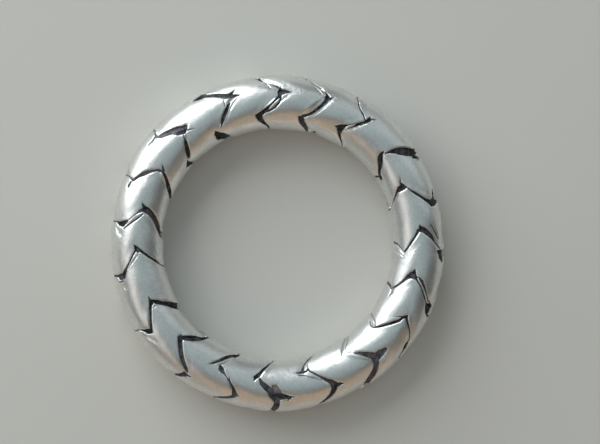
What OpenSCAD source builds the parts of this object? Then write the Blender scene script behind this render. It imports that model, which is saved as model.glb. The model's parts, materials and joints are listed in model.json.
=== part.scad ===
// Finger ring of one round silver wire, cut all round with zigzag grooves that leave overlapping scales.
// The ring lies on its side: its axis is Z, its face is up, and it rests on z = 0.
// Degrees round the ring run from +X towards +Y. Degrees round the wire run from its outer side (0),
// over its face (90), to its inner side (180) and its back (270).

/* [Ring] */
// Width of the finger hole
finger_d = 19; // [16:0.5:22]
// Thickness of the wire
wire_d = 4.2; // [3.6:0.1:5]

/* [Scales] */
// Depth of a groove
groove_depth = 0.2; // [0.1:0.02:0.4]
// Width of a groove at its lips
groove_w = 0.44; // [0.3:0.02:0.6]
// Width of a groove's floor
floor_w = 0.12; // [0.06:0.02:0.2]
// How much wider a groove is at a corner, as a share of its width
pit_share = 0.7; // [0:0.1:1]
// Rise of a scale's middle over its edges
crown = 0.05; // [0:0.01:0.12]

/* [Hidden] */

core_r = (finger_d + wire_d) / 2;
wire_r = wire_d / 2;

// One row for each groove, in order round the ring. FIRST is the number of its first corner: even corners
// point ahead and odd ones back. Four corners follow, from the wire's outer side over its face to its inner
// side, each as degrees round the ring (A) and degrees round the wire (P). OUT and IN are how far the scale
// after the groove stands up, or is filed down, on its outer and inner side, in mm.
FIRST = 0;
A = 1;
P = 2;
OUT = 9;
IN = 10;
GROOVES = [
//   first     A0   P0     A1   P1     A2   P2     A3   P3     out     in
    [ 1,     -3.5,  42,     6,  92,    -5, 134,     3, 205,  -0.15,  0],
    [ 1,       14,  48,    25, 109,    17, 166,    23, 215,  -0.09, -0.18],
    [ 1,       31,  34,    42, 108,    32, 156,    39, 215,   0.07, -0.11],
    [ 0,     61.5,  37,    54,  71,    63, 119,  55.5, 172,   0,     0.03],
    [ 0,       81,  26,  72.5,  62,    82, 128,    74, 170,   0.04,  0.14],
    [ 0,       98,  28,  88.5,  70,   101, 122,    95, 162,  -0.05,  0.08],
    [ 0,      117,  31, 108.5,  62, 120.5, 134,   115, 164,   0.02, -0.03],
    [ 0,      139,  40,   130,  76, 139.5, 151,   136, 170,   0.12,  0],
    [ 0,      157,  47,   149,  95, 158.5, 170,   150, 215,  -0.04, -0.05],
    [ 0,    173.5,  51, 165.5,  95,   176, 150,   168, 215,  -0.08,  0.03],
    [ 0,      193,  42,   182,  89,   191, 160,   184, 215,  -0.03,  0],
    [ 0,      214,  56,   203,  94,   212, 163,   204, 220,   0.03, -0.25],
    [ 0,      235,  49, 223.5, 105,   232, 168,   224, 222,  -0.06,  0.02],
    [ 0,    253.5,  56,   243, 107,   251, 170,   243, 225,  -0.05, -0.08],
    [ 0,    269.5,  61,   260, 107,   269, 172,   261, 228,   0.02, -0.05],
    [ 0,      291,  69,   280, 121,   289, 180,   280, 240,  -0.08,  0.03],
    [ 0,      310,  73,   299, 127,   307, 190,   299, 245,   0.05,  0.02],
    [-1,    319.5,  33,   330,  84,   318, 130,   326, 195,   0.08,  0.04],
    [-1,      336,  40,   347, 100,   336, 146,   343, 205,   0,     0.03]
];
// Corners of a groove all round the wire, which make three teeth
CORNERS = 6;
// Corners that a row of the table holds
FACE_CORNERS = 4;
// Corners that the pattern twists by in one turn of the ring
TURN_SHIFT = 2;

// The skin is a net of rows, which follow the grooves, and columns, which follow the ring.
// Columns from a corner that points ahead to the next one, and from one that points back to the next one
AHEAD_STEPS = 5;
BACK_STEPS = 8;
TOOTH = AHEAD_STEPS + BACK_STEPS;
COLUMNS = TOOTH * CORNERS / 2;

// Rows over a groove (lip, floor, floor, lip) and over the scale after it
LIP_ROWS = 4;
BODY_ROWS = 4;
GROOVE_ROWS = LIP_ROWS + BODY_ROWS;
ROWS = GROOVE_ROWS * len(GROOVES);

function wrap(i, n) = ((i % n) + n) % n;
function blend(a, b, t) = a + (b - a) * t;

// Corner j of groove k, as [degrees round the ring, degrees round the wire]. Groove numbers past the last
// one begin the next turn. The two corners on the back repeat the row's third and second one.
function corner(k, j) =
    let (turn = floor(k / len(GROOVES)),
         row = GROOVES[k - turn * len(GROOVES)],
         i = j + TURN_SHIFT * turn - row[FIRST],
         lap = floor(i / CORNERS),
         n = i - lap * CORNERS,
         like = n < FACE_CORNERS ? n : CORNERS - n)
    [row[A + 2 * like] + 360 * turn, row[P + 2 * like] + 360 * (lap + (n - like) / CORNERS)];

// A leg is the stretch of a groove between two corners. A column lies at a share of its way along a leg.
function leg(c) = 2 * floor(c / TOOTH) + (wrap(c, TOOTH) < AHEAD_STEPS ? 0 : 1);
function leg_share(c) =
    let (rest = wrap(c, TOOTH))
    rest < AHEAD_STEPS ? rest / AHEAD_STEPS : (rest - AHEAD_STEPS) / BACK_STEPS;

// The groove's middle line at a column
function line_at(k, c) = blend(corner(k, leg(c)), corner(k, leg(c) + 1), leg_share(c));

// A leg that runs aslant is as much wider along the ring as it is longer than its way round the wire
function slant(k, j) =
    let (run = (corner(k, j + 1) - corner(k, j)) * PI / 180)
    norm([run[0] * core_r, run[1] * wire_r]) / (run[1] * wire_r);
function widening(k, c) =
    leg_share(c) > 0 ? slant(k, leg(c)) : (slant(k, leg(c)) + slant(k, leg(c) - 1)) / 2 * (1 + pit_share);

// A groove is deeper at its corners too
function depth_at(c) = groove_depth * (leg_share(c) > 0 ? 1 : 1 + pit_share);

// How far a scale stands over the plain wire, at a place round the wire. Its back is left plain.
function filed(k, p) =
    let (row = GROOVES[wrap(k, len(GROOVES))])
    blend(row[IN], row[OUT], (1 + cos(p)) / 2) * min(1, 1 + sin(p));

// [degrees round the ring, degrees round the wire, height over the plain wire] on the groove's four rows
function lip(k, c, row) =
    let (side = row < LIP_ROWS / 2 ? -1 : 1,
         down = row == 1 || row == 2,
         middle = line_at(k, c),
         off = side * (down ? floor_w : groove_w) / 2 * widening(k, c),
         own = filed(side < 0 ? k - 1 : k, middle[1]))
    [middle[0] + off / core_r * 180 / PI, middle[1], down ? min(own, 0) - depth_at(c) : own];

// The same on the rows over the scale between two grooves
function body(k, c, t) =
    let (from = lip(k, c, LIP_ROWS - 1),
         to = lip(k + 1, c, 0))
    blend(from, to, t) + [0, 0, crown * 4 * t * (1 - t)];

function skin(k, c, row) =
    row < LIP_ROWS ? lip(k, c, row) : body(k, c, (row - LIP_ROWS + 1) / (BODY_ROWS + 1));

function point(s) =
    let (r = wire_r + s[2],
         out = core_r + r * cos(s[1]))
    [out * cos(s[0]), out * sin(s[0]), wire_r + crown + r * sin(s[1])];

// After one turn the columns meet those of the first row, shifted by the twist
function at(row, c) =
    row < ROWS
        ? row * COLUMNS + wrap(c, COLUMNS)
        : wrap(c + TOOTH * TURN_SHIFT / 2, COLUMNS);

// Each four-sided patch is split along its shorter diagonal
function patch(points, a, b, c, d) =
    norm(points[a] - points[c]) < norm(points[b] - points[d])
        ? [[a, b, c], [a, c, d]]
        : [[a, b, d], [b, c, d]];

module scale_band() {
    points = [for (k = [0 : len(GROOVES) - 1], row = [0 : GROOVE_ROWS - 1], c = [0 : COLUMNS - 1])
        point(skin(k, c, row))];
    faces = [for (row = [0 : ROWS - 1], c = [0 : COLUMNS - 1])
        each patch(points, at(row, c), at(row, c + 1), at(row + 1, c + 1), at(row + 1, c))];
    color("silver") polyhedron(points, faces, convexity = 6);
}

scale_band();
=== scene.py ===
"""A silver finger ring of one round wire, cut all round with zigzag grooves into lizard-like scales.

The ring lies face up on a pale floor. Sizes are in millimetres until a mesh is made, which is in metres.
Degrees round the ring run from +X towards +Y. Degrees round the wire run from its outer side (0), over its
face (90), to its inner side (180) and its back (270).
"""
import json
import math

import bpy
import numpy as np
from mathutils import Matrix, Vector


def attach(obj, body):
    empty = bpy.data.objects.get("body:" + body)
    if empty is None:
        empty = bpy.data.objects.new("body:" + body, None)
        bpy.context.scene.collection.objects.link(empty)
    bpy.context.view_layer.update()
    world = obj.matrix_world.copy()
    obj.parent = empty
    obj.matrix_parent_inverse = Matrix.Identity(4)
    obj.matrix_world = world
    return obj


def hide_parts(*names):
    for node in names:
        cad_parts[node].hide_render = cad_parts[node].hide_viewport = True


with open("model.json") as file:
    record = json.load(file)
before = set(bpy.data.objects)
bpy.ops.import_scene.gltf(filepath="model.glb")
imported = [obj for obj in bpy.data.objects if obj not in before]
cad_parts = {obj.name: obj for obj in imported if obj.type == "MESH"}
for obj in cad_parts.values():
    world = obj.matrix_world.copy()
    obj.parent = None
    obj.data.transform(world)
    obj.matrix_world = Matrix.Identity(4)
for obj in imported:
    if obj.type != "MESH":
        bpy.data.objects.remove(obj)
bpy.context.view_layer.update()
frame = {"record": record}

MM = 0.001
finger = frame["record"]["mounts"][0]
WIRE_R = finger["dims"]["length_mm"] / 2
CORE_R = finger["dims"]["r_mm"] + WIRE_R
MIDDLE_Z = finger["pos_m"][2] / MM

# One row for each groove, in order round the ring. FIRST is the number of its first corner: even corners
# point ahead and odd ones back. Four corners follow, from the wire's outer side over its face to its inner
# side, each as degrees round the ring (A) and degrees round the wire (P). OUT and IN are how far the scale
# after the groove stands up, or is filed down, on its outer and inner side.
FIRST = 0
A = 1
P = 2
OUT = 9
IN = 10
GROOVES = [
    # first   A0   P0     A1   P1     A2   P2     A3   P3     out     in
    [1,     -3.5,  42,     6,  92,    -5, 134,     3, 205,  -0.15,  0],
    [1,       14,  48,    25, 109,    17, 166,    23, 215,  -0.09, -0.18],
    [1,       31,  34,    42, 108,    32, 156,    39, 215,   0.07, -0.11],
    [0,     61.5,  37,    54,  71,    63, 119,  55.5, 172,   0,     0.03],
    [0,       81,  26,  72.5,  62,    82, 128,    74, 170,   0.04,  0.14],
    [0,       98,  28,  88.5,  70,   101, 122,    95, 162,  -0.05,  0.08],
    [0,      117,  31, 108.5,  62, 120.5, 134,   115, 164,   0.02, -0.03],
    [0,      139,  40,   130,  76, 139.5, 151,   136, 170,   0.12,  0],
    [0,      157,  47,   149,  95, 158.5, 170,   150, 215,  -0.04, -0.05],
    [0,    173.5,  51, 165.5,  95,   176, 150,   168, 215,  -0.08,  0.03],
    [0,      193,  42,   182,  89,   191, 160,   184, 215,  -0.03,  0],
    [0,      214,  56,   203,  94,   212, 163,   204, 220,   0.03, -0.25],
    [0,      235,  49, 223.5, 105,   232, 168,   224, 222,  -0.06,  0.02],
    [0,    253.5,  56,   243, 107,   251, 170,   243, 225,  -0.05, -0.08],
    [0,    269.5,  61,   260, 107,   269, 172,   261, 228,   0.02, -0.05],
    [0,      291,  69,   280, 121,   289, 180,   280, 240,  -0.08,  0.03],
    [0,      310,  73,   299, 127,   307, 190,   299, 245,   0.05,  0.02],
    [-1,   319.5,  33,   330,  84,   318, 130,   326, 195,   0.08,  0.04],
    [-1,     336,  40,   347, 100,   336, 146,   343, 205,   0,     0.03],
]
COUNT = len(GROOVES)
CORNERS = 6  # of a groove all round the wire, which make three teeth
FACE_CORNERS = 4  # in a row of the table
TURN_SHIFT = 2  # corners that the pattern twists by in one turn of the ring

# How each groove was cut, in the order of the table above. A stroke is how dark its floor is, from 0 to 1,
# and then the places that it runs through, as degrees round the ring and round the wire and the floor's
# width.
CUTS = [
    [
        [1.0, (356.6, -8, .36), (356.6, 28, .36), (356.2, 38, .50), (357.1, 51, .15)],
        [0.95, (353.8, 28, .20), (355.6, 36, .50), (357.1, 49, .15)],
        [0.9, (358.0, 33, .08), (358.8, 44, .12), (360.3, 57, .15), (362.6, 68, .40), (364.4, 79, .46),
         (365.7, 89, .42)],
        [1.0, (365.8, 91, .36), (367.6, 95, .03)],
        [0.9, (361.3, 44, .08), (363.5, 53, .17), (367.1, 67, .10)],
        [1.0, (365.5, 92, .34), (365.2, 99, .24), (363.2, 106, .17), (360, 118.5, .15),
         (357.8, 126, .15), (356.2, 133, .16)],
        [0.8, (355.8, 136, .05), (358.0, 146, .12), (359.7, 158, .16), (360.4, 175, .18),
         (360.1, 195, .20)],
        [0.2, (354.0, 134, .05), (355.4, 147, .10), (357.4, 176, .06)],
    ],
    [
        [1.0, (17, -8, .50), (16.8, 10, .50), (15.9, 28, .56), (15.1, 41, .56), (14.8, 50, .50)],
        [1.0, (15.0, 52, .40), (16.7, 66, .25), (18.3, 75, .19), (19.8, 83, .22), (21.9, 93.5, .14),
         (23.3, 98, .10)],
        [1.0, (23.9, 99, .10), (24.6, 108, .46), (24.4, 118, .42), (23.9, 128, .16)],
        [1.0, (24.6, 107, .40), (26.9, 109.5, .12), (29.6, 101, .02)],
        [0.9, (23.8, 127, .18), (21.9, 139, .14), (20.6, 147, .12), (19.4, 154, .12), (17.8, 163, .12),
         (16.7, 174, .13), (16.4, 195, .13)],
        [1.0, (15.4, 42, .40), (17.2, 35, .30), (19.4, 30, .10)],
    ],
    [
        [1.0, (31.1, -8, .12), (31.2, 15, .12), (31.8, 35, .14), (33.0, 46, .20)],
        [1.0, (34.3, 20, .12), (34.2, 31, .34), (34.4, 42, .54), (36.0, 56, .64), (37.8, 70, .56),
         (38.9, 79, .40), (39.9, 90, .24), (40.6, 100, .10)],
        [1.0, (41.7, 101, .10), (41.6, 109, .28), (40.6, 117, .40), (39.2, 124, .40),
         (37.9, 130.5, .32), (36.2, 141, .24), (34.4, 150, .24), (32.6, 153, .24), (31.4, 157, .12)],
        [1.0, (33.6, 152, .14), (34.2, 162, .18), (34.5, 176, .20), (34.5, 195, .20)],
    ],
    [
        [1.0, (61.7, -8, .08), (61.8, 29, .08), (60.8, 42, .11), (60.1, 51.5, .15), (58.9, 59, .15),
         (56.7, 68.5, .13), (55.4, 76, .13)],
        [0.9, (52.2, 57, .04), (53.6, 64, .14), (54.3, 70, .20), (55.0, 78, .20)],
        [1.0, (54.5, 61, .10), (54.2, 67, .32), (54.9, 78, .24), (56.7, 91, .26), (57.8, 100.5, .13),
         (59.6, 114, .07)],
        [1.0, (57.4, 90, .05), (59.4, 100.5, .06), (60.8, 108, .16)],
        [1.0, (61.0, 108, .20), (62.1, 116, .46), (62.5, 124, .48), (61.6, 136, .24), (60.0, 146, .16),
         (58.7, 154, .12), (57.4, 163, .09), (56.8, 175, .07), (56.8, 195, .07)],
        [1.0, (62.6, 118, .50), (65.4, 122, .02)],
    ],
    [
        [0.8, (80.7, -8, .20), (80.8, 26, .12), (79.3, 36, .09), (77.0, 46, .09), (75.0, 54.5, .09),
         (73.2, 58.5, .12)],
        [0.5, (78.2, 44, .05), (76.4, 53, .06), (74.6, 63, .05)],
        [0.9, (69.9, 61, .03), (70.7, 65.5, .14), (71.8, 70, .30)],
        [1.0, (72.9, 57, .12), (72.1, 66, .36), (72.4, 77, .30), (73.4, 89, .25), (74.7, 99, .24),
         (76.2, 109, .24), (77.9, 117, .24), (79.6, 121.5, .26)],
        [0.85, (79.6, 121, .26), (80.8, 127, .40), (80.0, 137, .40), (78.6, 146, .34),
         (77.2, 155, .30), (76.2, 165, .22), (75.6, 178, .18), (75.4, 195, .18)],
        [1.0, (80.6, 125, .36), (82.4, 124, .05)],
        [0.9, (72.5, 161, .08), (72.4, 172, .28), (72.2, 192, .20)],
    ],
    [
        [1.0, (97.6, -8, .26), (97.8, 14, .24), (97.3, 28, .16), (96.8, 34, .10)],
        [0.8, (96.8, 34, .10), (96.0, 40, .08), (94.6, 47, .08), (92.6, 53.5, .09), (90.8, 61, .14)],
        [0.5, (95.0, 49, .04), (93.9, 60, .05)],
        [1.0, (90.2, 64, .22), (90.4, 72, .36), (90.5, 82, .28), (91.4, 85, .20), (92.8, 93, .13),
         (94.4, 100.5, .15), (96.1, 108, .28), (98.2, 116, .34)],
        [0.95, (86.0, 72, .04), (87.7, 71.5, .24), (89.1, 71.5, .42), (90.0, 72.5, .50)],
        [0.9, (90.1, 86, .13), (90.8, 96, .15), (92.5, 105, .19), (94.2, 110.5, .19),
         (96.2, 114, .18)],
        [1.0, (98.4, 116, .32), (99.8, 122, .48), (99.3, 130, .40), (98.0, 141, .30), (96.8, 150, .24),
         (95.8, 157, .20), (95.2, 168, .10), (95.2, 195, .12)],
        [1.0, (99.8, 119, .30), (101.4, 119, .08)],
    ],
    [
        [0.85, (116.4, -8, .22), (116.8, 14, .24), (117.4, 27, .36), (114.4, 40, .38),
         (112.4, 49, .42), (110.6, 57, .48), (108.8, 60, .46)],
        [1.0, (117.0, 10, .22), (118.4, 20, .28), (121.2, 23, .05)],
        [1.0, (117.8, 29, .32), (119.6, 28, .24), (122.3, 24, .05)],
        [1.0, (108.8, 57, .28), (106.4, 47, .03)],
        [1.0, (108.8, 62, .34), (107.2, 64, .22), (105.2, 66.5, .04)],
        [0.6, (111.9, 66, .05), (112.4, 79, .09)],
        [0.35, (107.2, 66.5, .12), (109.2, 70, .24), (110.6, 75, .14)],
        [1.0, (110.3, 77, .18), (112.2, 89, .29), (114.6, 102, .29), (116.1, 112, .22),
         (117.0, 118.5, .06), (118.4, 122, .03)],
        [1.0, (120.4, 122, .06), (120.1, 132, .44), (118.8, 144, .74), (117.0, 157, .66),
         (115.7, 170, .50), (115.1, 195, .46)],
        [1.0, (120.4, 124, .05), (121.3, 142, .10), (120.2, 154, .20)],
    ],
    [
        [0.6, (138.4, -8, .10), (138.0, 20, .10), (138.7, 30, .11), (139.2, 39, .15)],
        [0.7, (139.4, 39, .14), (141.6, 41.5, .12), (143.4, 39.5, .07)],
        [0.7, (139.2, 43, .20), (137.8, 50, .42), (135.0, 59, .50), (132.4, 68, .56), (130.8, 75, .54),
         (129.4, 74, .34)],
        [1.0, (130.0, 76, .40), (131.2, 76, .64), (132.8, 73, .50), (134.2, 70, .20)],
        [1.0, (129.6, 83.5, .12), (127.0, 90, .02)],
        [1.0, (132.2, 86, .06), (132.9, 94, .12), (133.2, 99, .24), (134.3, 110, .35),
         (135.6, 122, .38), (136.7, 133, .28)],
        [1.0, (138.2, 134.5, .04), (138.8, 143, .26), (139.2, 151, .46), (138.0, 158, .34),
         (136.9, 167, .28), (136.4, 180, .30), (136.4, 195, .30)],
        [1.0, (139.2, 151, .42), (141.0, 152.5, .10)],
    ],
    [
        [0.6, (155.9, -8, .10), (156.0, 28, .08), (156.5, 39.5, .12), (156.8, 48, .18)],
        [0.9, (157.2, 45, .10), (159.4, 41, .16)],
        [0.7, (156.6, 52, .12), (155.0, 58, .15), (153.2, 67, .30), (151.8, 74.5, .27),
         (150.3, 84, .19), (149.2, 91.5, .19), (148.8, 103, .22)],
        [0.8, (146.7, 94, .08), (148.5, 104, .24)],
        [1.0, (148.9, 103, .20), (150.0, 114, .24), (151.7, 125, .30), (153.3, 135.5, .33),
         (155.0, 148, .32), (156.4, 158.5, .30), (157.8, 169, .26), (158.4, 180, .24),
         (158.0, 195, .24)],
    ],
    [
        [1.0, (172.2, -8, .06), (172.4, 30, .08), (172.9, 42, .28), (172.9, 51.5, .42),
         (172.1, 59, .28), (171.4, 65, .08)],
        [0.7, (171.1, 67, .06), (169.2, 77.5, .05), (168.0, 84, .10), (166.7, 91, .28)],
        [0.8, (174.6, 57, .09), (172.2, 73, .13), (170.0, 87, .13), (168.0, 96, .09)],
        [1.0, (163.6, 87, .03), (165.2, 96, .30), (166.1, 103, .50)],
        [0.85, (167.7, 83, .05), (166.7, 91, .24), (166.0, 99, .42), (166.0, 105, .44),
         (166.9, 114, .44), (168.6, 126, .42), (170.8, 137, .44), (173.2, 147, .48), (175.4, 154, .48),
         (176.0, 166, .48), (176.0, 195, .48)],
    ],
    [
        [0.95, (191.0, -8, .10), (191.3, 29, .14), (191.8, 39, .42), (191.7, 48, .42),
         (190.1, 55.5, .30), (188.9, 61, .17), (186.9, 70, .12), (185.0, 77.5, .12), (183.3, 84, .14),
         (182.2, 89, .24)],
        [0.5, (193.7, 28, .07), (193.4, 46, .12)],
        [0.6, (189.4, 64, .03), (186.7, 80.5, .05), (184.4, 91.5, .03)],
        [1.0, (180.4, 83, .06), (182.0, 89, .36), (182.9, 92, .30)],
        [1.0, (182.3, 94, .22), (184.0, 105, .19), (185.7, 117, .18), (187.3, 129.5, .18),
         (188.8, 140, .15), (189.9, 148, .08), (190.8, 158, .08), (191.2, 195, .10)],
    ],
    [
        [1.0, (211.0, -8, .06), (211.3, 31, .06), (212.5, 44, .18), (213.4, 51.5, .42),
         (213.8, 58, .40), (213.0, 64, .20), (210.0, 74.5, .16), (207.8, 81.5, .18), (205.3, 89, .22),
         (203.3, 92.8, .18), (201.4, 93, .03)],
        [1.0, (213.9, 57, .28), (215.0, 59, .05)],
        [1.0, (203.8, 93, .22), (204.6, 93.5, .34), (205.2, 91, .22)],
        [1.0, (203.8, 97, .20), (205.2, 107, .34), (206.4, 117, .26), (207.8, 129.5, .30),
         (209.2, 140, .40), (210.5, 152, .42), (211.7, 168, .40), (212.0, 195, .38)],
    ],
    [
        [0.85, (231.0, -8, .20), (231.2, 4, .20), (231.9, 16.5, .24), (232.9, 32, .34),
         (233.6, 41, .42), (233.2, 47, .24), (232.8, 50.5, .06)],
        [1.0, (233.8, 44, .34), (236.3, 45.5, .07)],
        [0.9, (234.1, 52.5, .08), (232.8, 58.5, .28), (230.4, 67, .34), (227.9, 77.5, .34),
         (225.9, 88, .34), (224.1, 97.5, .36), (223.2, 103, .44), (222.8, 109, .26)],
        [1.0, (223.4, 107, .32), (225.0, 115, .44), (226.8, 125, .52), (228.6, 135.5, .57),
         (230.3, 146.5, .50), (231.9, 158.5, .30), (232.8, 172, .22), (233.0, 195, .22)],
    ],
    [
        [0.8, (246.6, -8, .12), (247.2, 18, .13), (248.9, 28.5, .22), (251.1, 38, .28),
         (252.8, 47, .32), (253.1, 53, .42), (252.5, 61, .34), (251.8, 69, .22), (250.6, 76, .17),
         (249.2, 84, .16), (247.8, 88.5, .07), (246.4, 94.5, .16), (245.5, 97, .30), (244.5, 101, .42),
         (243.8, 106, .28)],
        [0.9, (253.4, 56, .20), (254.9, 53, .03)],
        [0.8, (249.2, 84, .10), (249.0, 92, .04)],
        [1.0, (238.8, 97, .02), (240.6, 106.5, .16), (242.8, 120, .22), (244.7, 134, .25),
         (246.7, 145, .29), (248.3, 151.5, .26), (249.8, 160, .12), (250.4, 175, .14),
         (250.4, 195, .15)],
    ],
    [
        [0.85, (267.2, -8, .24), (267.8, 15, .28), (268.3, 30, .38), (268.7, 42, .42),
         (268.7, 51.5, .42), (268.4, 60, .60), (267.5, 70, .76), (265.8, 80, .50), (264.2, 87, .48),
         (262.4, 95, .36), (261.2, 104, .20)],
        [0.95, (268.4, 66, .80), (270.6, 67, .56), (272.8, 65, .34), (275.4, 65, .05)],
        [1.0, (272.8, 58, .10), (273.4, 62, .24)],
        [0.55, (267.9, 76, .40), (267.0, 91, .26)],
        [0.55, (269.4, 77, .40), (268.0, 91, .28)],
        [1.0, (258.8, 98, .06), (259.2, 107, .30), (260.3, 113, .34), (261.0, 119, .25),
         (262.2, 131, .20), (263.6, 140, .18), (265.0, 151, .13), (266.2, 158, .08), (267.0, 170, .10),
         (267.2, 195, .12)],
    ],
    [
        [0.85, (282.6, -8, .28), (283.4, 10, .30), (285.2, 25, .34), (287.2, 37, .38),
         (289.1, 50, .42), (290.4, 61, .50), (290.9, 71, .56), (290.1, 80, .40), (288.8, 87, .28),
         (287.2, 96, .20), (285.8, 103.5, .16), (284.4, 111, .13), (282.8, 119, .12),
         (282.5, 125, .12)],
        [0.5, (285.6, 97, .04), (283.6, 102, .07), (281.6, 106, .04)],
        [1.0, (291.0, 67, .50), (292.7, 67, .36), (294.4, 65, .05)],
        [0.6, (286.9, 91, .04), (284.2, 99, .07), (280.8, 109.5, .05), (278.0, 114.5, .11)],
        [1.0, (276.6, 121, .03), (278.3, 120, .19), (280.0, 120, .22), (281.4, 119.5, .12),
         (282.5, 124, .10)],
        [0.8, (279.8, 124, .26), (280.8, 135.5, .12), (282.2, 146, .12), (283.9, 155.5, .19),
         (285.8, 163, .23), (287.2, 172, .13), (288.4, 195, .14)],
        [0.4, (282.5, 127, .05), (283.0, 139, .05)],
    ],
    [
        [0.8, (301.6, -8, .32), (301.8, 14, .32), (302.5, 26, .38), (304.1, 36.5, .44),
         (305.9, 45.5, .45), (307.5, 54.5, .42), (308.8, 64, .44), (309.6, 74.5, .56),
         (309.4, 84, .56), (308.2, 92.5, .46), (306.9, 100.5, .32), (305.6, 108, .24),
         (304.0, 113.5, .10)],
        [0.75, (310.0, 76, .76), (312.2, 77, .62), (314.8, 76, .34)],
        [0.3, (301.0, 124, .04), (303.2, 120, .05)],
        [0.4, (298.5, 125, .05), (300.2, 137.5, .18), (301.9, 151, .20), (303.9, 163, .19),
         (305.3, 175, .17), (306.4, 195, .16)],
        [0.4, (301.1, 131, .03), (303.6, 145, .08), (305.6, 158.5, .12), (306.9, 175, .10)],
    ],
    [
        [1.0, (316.4, -8, .10), (316.5, 27, .08), (318.9, 31.5, .16), (320.7, 38, .25),
         (321.9, 41, .20), (323.6, 44.5, .10), (325.0, 51.5, .10), (326.4, 61, .14),
         (327.8, 71.5, .17), (329.2, 80.5, .22), (330.1, 82.5, .20)],
        [1.0, (329.7, 84, .22), (328.6, 89.5, .18), (327.1, 91.8, .23), (325.7, 97.8, .24),
         (324.1, 104, .22), (322.4, 111.3, .20), (320.8, 117.3, .18), (318.9, 126, .14),
         (318.0, 131, .10)],
        [0.9, (329.4, 88, .12), (327.2, 107, .02)],
        [0.5, (317.9, 130, .10), (317.9, 140, .13), (319.0, 150, .12), (320.8, 160, .05)],
        [0.5, (318.9, 132, .06), (319.3, 145, .06)],
        [0.45, (318.8, 128, .08), (320.6, 137, .11), (321.7, 152, .12), (322.8, 167.5, .12),
         (323.3, 195, .14)],
    ],
    [
        [1.0, (334.0, -8, .12), (334.0, 30, .12), (335.2, 40, .30), (336.8, 45, .42), (337.5, 50, .24),
         (338.0, 54, .13), (339.4, 62.5, .16), (340.8, 70, .13), (342.8, 80.5, .10), (344.4, 90, .12),
         (345.4, 95, .20)],
        [1.0, (333.6, 30, .06), (335.2, 35, .34), (337.2, 36, .44), (337.6, 29, .16)],
        [0.9, (338.8, 40, .08), (338.8, 49, .11), (341.2, 61, .15), (343.3, 71.5, .20),
         (345.0, 80.5, .22), (346.1, 90, .12)],
        [1.0, (345.8, 96, .30), (346.4, 106, .52), (345.6, 112, .34), (343.9, 119, .20),
         (342.2, 125, .15), (340.0, 134, .13), (338.4, 143, .14)],
        [1.0, (346.9, 103, .46), (349.4, 102, .03)],
        [0.5, (338.3, 142.5, .22), (336.1, 140, .17), (334.2, 142.5, .08)],
        [0.7, (337.8, 146, .10), (339.2, 154, .20), (340.0, 168, .20), (340.1, 195, .20)],
    ],
]

# Bright cuts without a dark floor, as places like those of CUTS
FACETS = [
    [(20.6, 116.5, .05), (17.5, 112.5, .12), (13.8, 107.5, .06)],
    [(32.2, -8, .30), (32.6, 10, .34), (33.2, 28, .10)],
    [(30.0, 156, .10), (30.6, 166, .32), (31.4, 180, .30)],
    [(61.3, 28, .14), (59.9, 38, .40), (58.8, 47, .46), (58.3, 56, .20)],
    [(80.0, 27, .20), (78.2, 37, .50), (75.8, 46, .56), (73.8, 53, .24)],
    [(51.6, 62, .10), (53.8, 75, .22), (55.6, 90, .28), (58.4, 111, .22), (60.6, 122, .16)],
    [(69.6, 60, .14), (70.9, 74, .28), (72.4, 90, .30), (74.6, 108, .28), (76.8, 119, .18)],
    [(97.0, 26, .16), (95.2, 38, .34), (92.2, 50, .34), (90.0, 58, .16)],
    [(86.8, 77, .10), (88.6, 85, .26), (91.0, 98, .26), (94.6, 111, .16)],
    [(105.6, 68, .10), (107.8, 76, .20), (110.4, 88, .26), (113.0, 102, .28), (115.6, 116, .14)],
    [(130.8, 87, .12), (132.3, 98, .26), (133.6, 112, .34), (135.6, 130, .24)],
    [(150.4, 113, .20), (151.8, 126, .38), (154.0, 142, .40), (156.0, 156, .30)],
    [(173.8, 29, .10), (175.8, 40, .44), (177.4, 54, .12)],
    [(189.8, 20, .12), (191.6, 24, .34), (193.2, 28, .10)],
    [(195.0, 39, .12), (196.0, 44, .34), (196.6, 49, .10)],
    [(189.6, 62, .08), (187.0, 77, .20), (184.4, 92, .10)],
    [(213.6, 39, .10), (215.8, 46, .46), (217.8, 54, .20)],
    [(206.2, 88, .14), (206.4, 97, .34), (207.0, 107, .10)],
    [(225.7, 103, .10), (225.9, 107, .20)],
    [(240.4, 96, .06), (243.8, 111, .24), (247.0, 127, .10)],
    [(270.8, 34, .14), (272.4, 44, .46), (273.9, 55, .14)],
    [(291.6, 49, .10), (292.8, 54, .32), (293.8, 59, .12)],
    [(293.9, 109, .06), (293.7, 113, .14), (293.5, 117, .06)],
    [(309.4, 52, .12), (312.4, 61, .36), (315.4, 69, .14)],
    [(354.2, 134, .10), (355.6, 150, .34), (357.4, 176, .12)],
]

# A groove's section: a dark floor with steep walls, and a bright bevel up to the scales
STEEP = 0.45  # share of the floor's half width that the walls take
BEVEL = 0.09  # width of the bevel
BEVEL_DEPTH = 0.03
LEAST_DEPTH = 0.08
DEPTH_PER_WIDTH = 0.45
MOST_DEPTH = 0.2
FACET_SLOPE = 0.5  # of the two faces of a bright cut
WIDER = 1.12
OUTER_WIDER = 0.45  # on top of it, on the wire's outer side
OUTER_END = 55  # degrees from that side where it begins
OUTER_FADE = 30  # degrees over which it grows, towards that side
NARROW = 0.1  # half width under which a floor's bevel shrinks
LEAST_BEVEL = 0.1  # share of the bevel that a hairline keeps
HAIRLINE = 0.04  # half width under which a floor is shallower
MOST_WALL = 0.07  # width of a wall
CROWN = 0.05
BACK_WIDTH = 0.26  # of the grooves on the ring's back, which the photo hides
BACK_GAP = 8  # least degrees round the wire between a corner there and a stroke of the face
NEAR_TURN = 4  # degrees round the ring beyond a stroke's ends where it can still cut
NEAR_SIDE = 0.7  # millimetres round the wire, likewise

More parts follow.
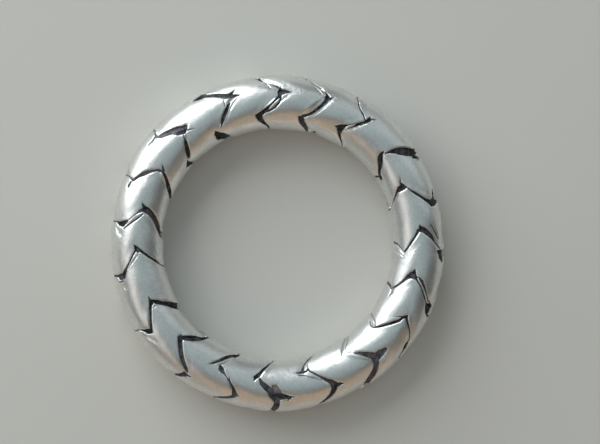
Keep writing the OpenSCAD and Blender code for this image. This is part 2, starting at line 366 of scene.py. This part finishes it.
# The skin starts as a net of rows, which follow the grooves, and columns, which follow the ring
AHEAD_STEPS = 9
BACK_STEPS = 13
TOOTH = AHEAD_STEPS + BACK_STEPS
GROOVE_OFFSETS = np.array([-0.43, -0.22, -0.04, 0.04, 0.22, 0.43])
BODY_ROWS = 12
ROW_CROWDING = 1.1  # over 1 crowds a scale's rows towards its first groove

# Its triangles are then split where the cuts need more. The columns of SPLITS are the triangle's corners
# (0 to 2) and the middles of its edges 0-1, 1-2 and 2-0 (3 to 5). Its rows are the triangles that it
# becomes when none, or these of its edges, are split.
SPLITS = [
    [(0, 1, 2)],
    [(0, 3, 2), (3, 1, 2)],  # edge 0-1
    [(0, 1, 4), (0, 4, 2)],  # edge 1-2
    [(0, 3, 2), (3, 4, 2), (3, 1, 4)],
    [(0, 1, 5), (5, 1, 2)],  # edge 2-0
    [(0, 3, 5), (5, 3, 2), (3, 1, 2)],
    [(0, 1, 4), (0, 4, 5), (5, 4, 2)],
    [(0, 3, 5), (3, 1, 4), (5, 4, 2), (3, 4, 5)],
]
SEAM = 90  # degrees from the ring's back to the wire's outer side
MAP_EDGE = 0.02

NEAR_STEP = 0.13  # longer edges at a dark floor are split
LEAST_STEP = 0.03  # no shorter edge is split
MOST_ERROR = 0.012  # depth by which an edge's middle may miss the cut
BACK_ERROR = 2  # times that is added to it on the ring's back
PASSES = 5

# Waves in the metal's surface: their height, their length and their random seed
DENTS = [(0.012, 2.6, 3), (0.004, 0.8, 5)]

SILVER = (0.92, 0.92, 0.90, 1)
DULL_SILVER = (0.80, 0.80, 0.79, 1)
SOOT = (0.010, 0.011, 0.013, 1)
THIN_SOOT = (0.24, 0.225, 0.255, 1)
FLOOR_COLOUR = (0.73, 0.70, 0.655, 1)
ROOM_COLOUR = (0.85, 0.93, 0.96, 1)
ROOM_STRENGTH = 0.07

# Each lamp's name, degrees from the photo's right towards its top, degrees above the floor, metres
# from the ring, size in metres, power in watts and colour
LAMPS = [
    ("key", 130, 24, 0.35, (0.42, 0.36), 1.42, (0.90, 0.975, 0.99)),
    ("right_fill", 38, 32, 0.35, (0.30, 0.30), 0.13, (0.87, 0.98, 1)),
    ("left_fill", 200, 38, 0.35, (0.30, 0.20), 0.15, (1, 0.96, 0.92)),
    ("warm_fill", 280, 22, 0.35, (0.66, 0.28), 0.21, (1, 0.70, 0.43)),
    ("sky", 60, 86, 0.45, (0.50, 0.50), 0.24, (0.74, 0.93, 0.98)),
]


def turn_between(a, b):
    """b - a in degrees, from -180 to 180."""
    return (b - a + 180) % 360 - 180


def corner(k, j):
    """Corner j of groove k, as [degrees round the ring, degrees round the wire]."""
    turn, k = divmod(k, COUNT)
    row = GROOVES[k]
    lap, n = divmod(j + TURN_SHIFT * turn - row[FIRST], CORNERS)
    like = n if n < FACE_CORNERS else CORNERS - n
    return np.array([row[A + 2 * like] + 360 * turn,
                     row[P + 2 * like] + 360 * (lap + (n - like) / CORNERS)], float)


def slant(k, j):
    """How much longer leg j of groove k is than its way round the wire."""
    run = np.radians(corner(k, j + 1) - corner(k, j))
    return math.hypot(run[0] * CORE_R, run[1] * WIRE_R) / (run[1] * WIRE_R)


def middle_line(k):
    """The groove's middle line at every column, and how much wider the groove is along the ring."""
    line, wide = [], []
    for tooth in range(CORNERS // 2):
        for j, steps in ((2 * tooth, AHEAD_STEPS), (2 * tooth + 1, BACK_STEPS)):
            share = np.arange(steps)[:, None] / steps
            line.append(corner(k, j) * (1 - share) + corner(k, j + 1) * share)
            here = np.full(steps, slant(k, j))
            here[0] = (slant(k, j) + slant(k, j - 1)) / 2
            wide.append(here)
    return np.concatenate(line), np.concatenate(wide)


def net():
    """Degrees round the ring and the wire for every row and column, then each row's groove and its share
    of the way from that groove to the next."""
    lines = [middle_line(k) for k in range(COUNT + 1)]
    rows, grooves, shares = [], [], []
    for k in range(COUNT):
        line, wide = lines[k]
        ahead, ahead_wide = lines[k + 1]
        aside = np.zeros_like(line)
        aside[:, 0] = np.degrees(wide / CORE_R)
        ahead_aside = np.zeros_like(line)
        ahead_aside[:, 0] = np.degrees(ahead_wide / CORE_R)
        for off in GROOVE_OFFSETS:
            rows.append(line + off * aside)
            shares.append(0 if off > 0 else -1)
        low = line + GROOVE_OFFSETS[-1] * aside
        high = ahead + GROOVE_OFFSETS[0] * ahead_aside
        for i in range(BODY_ROWS):
            t = ((i + 1) / (BODY_ROWS + 1)) ** ROW_CROWDING
            rows.append(low * (1 - t) + high * t)
            shares.append(t)
        grooves += [k] * (len(GROOVE_OFFSETS) + BODY_ROWS)
    return np.array(rows), np.array(grooves), np.array(shares, float)


def widening(wire):
    """How much wider a floor is than it looks in the photo, whose glare and slanting view narrow it."""
    return WIDER + OUTER_WIDER * float(np.clip((OUTER_END - abs(turn_between(0, wire))) / OUTER_FADE, 0, 1))


def all_strokes():
    """Every stroke in short pieces, as [darkness, start, end], with each end as in CUTS."""
    made = []
    for k, row in enumerate(GROOVES):
        cuts = CUTS[k]
        places = [place for cut in cuts for place in cut[1:]]
        inner = max(places, key=lambda place: place[1])
        outer = min(places, key=lambda place: place[1])
        back = [inner]
        for j in range(FACE_CORNERS - 1, FACE_CORNERS + 4):
            ring, wire = corner(k, row[FIRST] + j)
            if inner[1] + BACK_GAP < wire < outer[1] + 360 - BACK_GAP:
                back.append((outer[0] + turn_between(outer[0], ring), wire, BACK_WIDTH))
        back.append((outer[0], outer[1] + 360, outer[2]))
        for darkness, *line in cuts + [[1, *back]]:
            line = [(ring, wire, width * widening(wire)) for ring, wire, width in line]
            made += [[darkness, a, b] for a, b in zip(line, line[1:])]
    for line in FACETS:
        made += [[0, a, b] for a, b in zip(line, line[1:])]
    return made


def carve(strokes, ring, wire):
    """Depth of the cuts at these degrees round the ring and the wire, and how far inside the edge of a dark
    floor each place is, which is below zero outside one, and how dark the floor is."""
    depth = np.zeros_like(ring)
    inside = np.full_like(ring, -1.0)
    dark = np.ones_like(ring)
    radius = CORE_R + WIRE_R * np.cos(np.radians(wire))
    order = np.argsort(ring % 360)
    sorted_ring = ring[order] % 360
    for darkness, (a, p, w_a), (b, q, w_b) in strokes:
        low = min(a, b) - NEAR_TURN
        high = max(a, b) + NEAR_TURN
        far = np.concatenate([order[slice(*np.searchsorted(sorted_ring, (low + turn, high + turn)))]
                              for turn in (-360, 0, 360)])
        y = np.radians(turn_between(p, wire[far])) * WIRE_R
        dy = np.radians(q - p) * WIRE_R
        close = (y > min(dy, 0) - NEAR_SIDE) & (y < max(dy, 0) + NEAR_SIDE)
        far, y = far[close], y[close]
        rho = radius[far]
        x = np.radians(turn_between(a, ring[far])) * rho
        dx = np.radians(b - a) * rho
        t = np.clip((x * dx + y * dy) / (dx * dx + dy * dy), 0, 1)
        d = np.hypot(x - t * dx, y - t * dy)
        half = (w_a + (w_b - w_a) * t) / 2
        size = np.clip(half / NARROW, LEAST_BEVEL, 1)
        if darkness == 0:
            depth[far] = np.maximum(depth[far], FACET_SLOPE * (half - d))
            continue
        full = np.clip(LEAST_DEPTH + DEPTH_PER_WIDTH * half, 0, MOST_DEPTH)
        full = full * np.clip(half / HAIRLINE, 0, 1)
        rim = BEVEL_DEPTH * size * size
        here = np.clip((half - d) / np.minimum(half * STEEP, MOST_WALL), 0, 1) * (full - rim)
        here += np.clip((half + BEVEL * size - d) / (BEVEL * size), 0, 1) * rim
        depth[far] = np.maximum(depth[far], here)
        deeper = half - d > inside[far]
        dark[far[deeper]] = darkness
        inside[far] = np.maximum(inside[far], half - d)
    return np.stack([depth, inside, dark], 1)


def uneven(points, size, seed):
    """Smooth noise of about -1 to 1 at points in millimetres, with bumps about this size."""
    rng = np.random.default_rng(seed)
    total = np.zeros(len(points))
    waves = 14
    for _ in range(waves):
        way = rng.normal(size=3)
        way *= 2 * math.pi / (size * rng.uniform(0.7, 1.6)) / np.linalg.norm(way)
        total += np.sin(points @ way + rng.uniform(0, 2 * math.pi))
    return total / math.sqrt(waves)


def filed(grooves, wire):
    """How far the scale after a groove stands over the plain wire. The back is left plain."""
    table = np.array(GROOVES)[grooves % COUNT]
    c = (1 + np.cos(np.radians(wire))) / 2
    up = table[:, OUT, None] * c + table[:, IN, None] * (1 - c)
    return up * np.minimum(1, 1 + np.sin(np.radians(wire)))


def on_wire(ring, wire, up):
    """Points in millimetres, at this height over the plain wire."""
    ring, wire = np.radians(ring), np.radians(wire)
    out = CORE_R + (WIRE_R + up) * np.cos(wire)
    return np.stack([out * np.cos(ring), out * np.sin(ring), MIDDLE_Z + (WIRE_R + up) * np.sin(wire)], -1)


def between(skin, i, j):
    """Rows of the skin halfway from its rows i to its rows j."""
    a, b = skin[i], skin[j]
    return np.stack([a[:, 0] + turn_between(a[:, 0], b[:, 0]) / 2,
                     a[:, 1] + turn_between(a[:, 1], b[:, 1]) / 2,
                     (a[:, 2] + b[:, 2]) / 2], 1)


def refine(strokes, skin, cuts, faces):
    """Splits the edges that cross a cut until its form is there."""
    for _ in range(PASSES):
        edges = np.stack([faces, np.roll(faces, -1, 1)], 2)
        keys, which = np.unique(edges.min(2) * len(skin) + edges.max(2), return_inverse=True)
        i, j = np.divmod(keys, len(skin))
        length = np.linalg.norm(on_wire(*skin[i, :2].T, 0) - on_wire(*skin[j, :2].T, 0), axis=1)
        long = np.flatnonzero(length > LEAST_STEP)
        i, j = i[long], j[long]
        middle = between(skin, i, j)
        cut = carve(strokes, middle[:, 0], middle[:, 1])
        error = np.abs(cut[:, 0] - (cuts[i, 0] + cuts[j, 0]) / 2)
        back = np.clip(-np.sin(np.radians(middle[:, 1])), 0, 1)
        split = error > MOST_ERROR * (1 + BACK_ERROR * back)
        split |= (cut[:, 1] > -length[long] / 2) & (length[long] > NEAR_STEP)
        made = np.full(len(keys), -1)
        made[long[split]] = len(skin) + np.arange(split.sum())
        skin = np.concatenate([skin, middle[split]])
        cuts = np.concatenate([cuts, cut[split]])
        middles = made[which].reshape(-1, 3)
        rule = (middles >= 0) @ np.array([1, 2, 4])
        parts = np.concatenate([faces, middles], 1)
        faces = np.concatenate([parts[rule == n][:, piece]
                                for n, pieces in enumerate(SPLITS) for piece in pieces])
    return skin, cuts, faces


def unroll(mesh, skin, faces):
    """Two flat maps of the skin. OFBake lays the ring's two halves over each other in a square. Skin has
    millimetres along the ring and round the wire, and is cut open along the ring's back and at one groove."""
    corners = skin[faces, :2]
    middle = corners[:, :1] + turn_between(corners[:, :1], corners).mean(1, keepdims=True)
    middle = (middle + (0, SEAM)) % 360
    corners = middle + turn_between(middle, corners + (0, SEAM))
    half = middle[..., :1] // 180
    along = (corners[..., :1] - 180 * half) / 180
    across = corners[..., 1:] / 360
    flat = np.concatenate([MAP_EDGE + along * (1 - 2 * MAP_EDGE),
                           (half + MAP_EDGE + across * (1 - 2 * MAP_EDGE)) / 2], 2)
    marks = np.radians(corners) * (CORE_R, WIRE_R)
    for name, places in (("Skin", marks), ("OFBake", flat)):
        mesh.uv_layers.new(name=name).data.foreach_set("uv", places.ravel().astype(np.float32))


def make_ring():
    """The ring's skin as one closed mesh, with its cuts, crowned scales and dents."""
    strokes = all_strokes()
    places, grooves, shares = net()
    ring, wire = places[..., 0], places[..., 1]
    before = shares < 0
    own = np.where(before, grooves - 1, grooves)
    share = np.clip(shares, 0, 1)[:, None]
    up = filed(own, wire) + CROWN * 4 * share * (1 - share)
    rows, columns = ring.shape
    net_rows, net_columns = np.mgrid[0:rows + 1, 0:columns + 1]
    turned = TOOTH * TURN_SHIFT // 2 * (net_rows == rows)
    index = net_rows % rows * columns + (net_columns + turned) % columns
    a, b, c, d = index[:-1, :-1], index[1:, :-1], index[1:, 1:], index[:-1, 1:]
    faces = np.concatenate([np.stack(corners, -1).reshape(-1, 3) for corners in ((a, b, c), (a, c, d))])
    skin = np.stack([ring.ravel(), wire.ravel(), up.ravel()], 1)
    cuts = carve(strokes, skin[:, 0], skin[:, 1])
    skin, cuts, faces = refine(strokes, skin, cuts, faces)
    uncut = on_wire(skin[:, 0], skin[:, 1], 0)
    dents = sum(height * uneven(uncut, size, seed) for height, size, seed in DENTS)
    up = skin[:, 2] + dents * np.minimum(1, 1 + np.sin(np.radians(skin[:, 1])))
    points = on_wire(skin[:, 0], skin[:, 1], up - cuts[:, 0]) * MM
    mesh = bpy.data.meshes.new("silver_scales")
    mesh.from_pydata(points.tolist(), [], faces.tolist())
    mesh.polygons.foreach_set("use_smooth", [True] * len(faces))
    for column, name in ((1, "inside"), (2, "dark")):
        layer = mesh.attributes.new(name, "FLOAT", "POINT")
        layer.data.foreach_set("value", cuts[:, column].astype(np.float32))
    unroll(mesh, skin, faces)
    piece = bpy.data.objects.new("silver_scales", mesh)
    bpy.context.scene.collection.objects.link(piece)
    return piece


def node(tree, kind, inputs=None, **settings):
    """A shader node with these settings. An input is a value or another node's output socket."""
    made = tree.nodes.new(kind)
    for name, value in settings.items():
        setattr(made, name, value)
    for name, value in (inputs or {}).items():
        if isinstance(value, bpy.types.NodeSocket):
            tree.links.new(value, made.inputs[name])
        else:
            made.inputs[name].default_value = value
    return made


def silver():
    """Satin silver with brushed marks, dark where the cuts are deep."""
    material = bpy.data.materials.new("satin_silver")
    material.use_nodes = True
    tree = material.node_tree
    shader = tree.nodes["Principled BSDF"]

    def calc(operation, *values):
        return node(tree, "ShaderNodeMath", dict(enumerate(values)), operation=operation).outputs[0]

    def noise(vector, scale, detail):
        inputs = {"Vector": vector, "Scale": scale, "Detail": detail}
        return node(tree, "ShaderNodeTexNoise", inputs).outputs["Fac"]

    def ramp(value, low, high, to_low, to_high):
        return node(tree, "ShaderNodeMapRange", {"Value": value, "From Min": low, "From Max": high,
                                                 "To Min": to_low, "To Max": to_high}).outputs[0]

    def layer(name):
        return node(tree, "ShaderNodeAttribute", attribute_name=name).outputs["Fac"]

    place = node(tree, "ShaderNodeTexCoord").outputs["Object"]
    skin = node(tree, "ShaderNodeUVMap", uv_map="Skin").outputs["UV"]
    lengthwise = node(tree, "ShaderNodeMapping", {"Vector": skin, "Scale": (4, 22, 1)})
    slanting = node(tree, "ShaderNodeMapping", {"Vector": skin, "Rotation": (0, 0, 0.9), "Scale": (3, 16, 1)})
    brushed = noise(lengthwise.outputs[0], 1, 3)
    scratched = noise(slanting.outputs[0], 1, 3)
    grain = noise(place, 9000, 3)
    blotch = noise(place, 900, 3)
    pits = noise(place, 3600, 2)

    ragged = calc("MULTIPLY_ADD", calc("SUBTRACT", grain, 0.5), 0.07, layer("inside"))
    soot = calc("MULTIPLY", ramp(ragged, -0.012, 0.028, 0, 1), ramp(layer("dark"), 0, 0.6, 0, 1))
    worn = ramp(layer("inside"), -0.35, -0.02, 0, 0.25)
    colour = node(tree, "ShaderNodeMix", data_type="RGBA")
    tree.links.new(soot, colour.inputs["Factor"])
    speckled = calc("MULTIPLY_ADD", noise(place, 5500, 4), 0.6, calc("MULTIPLY", blotch, 0.4))
    metal = node(tree, "ShaderNodeMix", {"Factor": ramp(speckled, 0.38, 0.62, 0, 1)}, data_type="RGBA")
    metal.inputs[6].default_value = SILVER
    metal.inputs[7].default_value = DULL_SILVER
    tree.links.new(metal.outputs[2], colour.inputs[6])
    faint = ramp(layer("dark"), 0.5, 1, 0.9, 0.1)
    thin = calc("MULTIPLY_ADD", calc("SUBTRACT", noise(place, 3000, 4), 0.5), 1.6, faint)
    deep = node(tree, "ShaderNodeMix", {"Factor": thin}, data_type="RGBA")
    deep.inputs[6].default_value = SOOT
    deep.inputs[7].default_value = THIN_SOOT
    tree.links.new(deep.outputs[2], colour.inputs[7])
    tree.links.new(colour.outputs[2], shader.inputs["Base Color"])
    tree.links.new(ramp(soot, 0, 1, 1, 0.35), shader.inputs["Metallic"])

    rough = calc("MULTIPLY_ADD", calc("SUBTRACT", brushed, 0.5), 0.12, ramp(blotch, 0.3, 0.7, 0.35, 0.43))
    rough = calc("MULTIPLY_ADD", calc("SUBTRACT", scratched, 0.5), 0.10, rough)
    rough = calc("MULTIPLY_ADD", worn, -0.2, rough)
    tree.links.new(calc("MULTIPLY_ADD", soot, 0.25, rough), shader.inputs["Roughness"])

    # Heights in micrometres
    height = calc("MULTIPLY_ADD", brushed, 4, calc("MULTIPLY", scratched, 5))
    height = calc("MULTIPLY_ADD", grain, 3, height)
    height = calc("MULTIPLY_ADD", ramp(pits, 0.30, 0.42, 0, 1), 3, height)
    height = calc("MULTIPLY_ADD", noise(place, 2400, 2), 16, height)
    bump = node(tree, "ShaderNodeBump", {"Height": height, "Strength": 1, "Distance": 0.000001})
    tree.links.new(bump.outputs["Normal"], shader.inputs["Normal"])
    return material


def plain(name, colour, rough):
    """A material of one colour."""
    material = bpy.data.materials.new(name)
    material.use_nodes = True
    shader = material.node_tree.nodes["Principled BSDF"]
    shader.inputs["Base Color"].default_value = colour
    shader.inputs["Roughness"].default_value = rough
    return material


def floor():
    """The pale floor under the ring."""
    half = 2.0
    mesh = bpy.data.meshes.new("floor")
    corners = [(-half, -half, 0), (half, -half, 0), (half, half, 0), (-half, half, 0)]
    mesh.from_pydata(corners, [], [(0, 1, 2, 3)])
    made = bpy.data.objects.new("floor", mesh)
    made.data.materials.append(plain("pale_floor", FLOOR_COLOUR, 0.8))
    bpy.context.scene.collection.objects.link(made)


RING_MIDDLE = Vector((0, 0, MIDDLE_Z)) * MM


def towards(azimuth, elevation):
    """A unit vector, with the azimuth turned from the photo's right towards its top."""
    a, e = math.radians(azimuth), math.radians(elevation)
    return Vector((math.cos(e) * math.cos(a), math.cos(e) * math.sin(a), math.sin(e)))


def lamp(name, azimuth, elevation, distance, size, power, colour):
    """A soft lamp that faces the ring."""
    light = bpy.data.lights.new(name, "AREA")
    light.shape = "RECTANGLE"
    light.size, light.size_y = size
    light.energy = power
    light.color = colour
    made = bpy.data.objects.new(name, light)
    way = towards(azimuth, elevation)
    made.location = RING_MIDDLE + way * distance
    made.rotation_euler = (-way).to_track_quat("-Z", "Y").to_euler()
    bpy.context.scene.collection.objects.link(made)


def lights():
    """The lamps and a dim room round them."""
    for row in LAMPS:
        lamp(*row)
    world = bpy.data.worlds.new("room")
    world.use_nodes = True
    background = world.node_tree.nodes["Background"]
    background.inputs["Color"].default_value = ROOM_COLOUR
    background.inputs["Strength"].default_value = ROOM_STRENGTH
    bpy.context.scene.world = world
    bpy.context.scene.view_settings.view_transform = "Standard"


# The camera looks almost down the ring's axis, a little from its left in the photo. The ring's middle is at
# (RING_X, RING_Y) in the photo of PHOTO_W by PHOTO_H pixels, and FOCAL is its focal length in those pixels.
PHOTO_W, PHOTO_H = 600, 444
RING_X, RING_Y = 278.6, 243.3
FOCAL = 2000
CAMERA_WAY = Vector((-0.0987, 0.0096, 0.9951))
CAMERA_FAR = 14.11 * CORE_R * MM


def camera():
    """The camera, aimed beside the ring so that the ring lies where the photo has it."""
    lens = bpy.data.cameras.new("camera")
    lens.sensor_width = 36
    lens.lens = FOCAL / PHOTO_W * lens.sensor_width
    lens.clip_start = 0.01
    made = bpy.data.objects.new("camera", lens)
    way = CAMERA_WAY.normalized()
    right = Vector((0, 1, 0)).cross(way).normalized()
    up = way.cross(right)
    aside = (PHOTO_W / 2 - RING_X) / FOCAL * CAMERA_FAR
    above = (RING_Y - PHOTO_H / 2) / FOCAL * CAMERA_FAR
    place = RING_MIDDLE + way * CAMERA_FAR
    look_at = RING_MIDDLE + right * aside + up * above
    back = (place - look_at).normalized()
    right = Vector((0, 1, 0)).cross(back).normalized()
    up = back.cross(right)
    made.matrix_world = Matrix.Translation(place) @ Matrix((right, up, back)).transposed().to_4x4()
    bpy.context.scene.collection.objects.link(made)
    bpy.context.scene.camera = made


ring = make_ring()
ring.data.materials.append(silver())
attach(ring, "root")
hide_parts("scale_band")
floor()
lights()
camera()
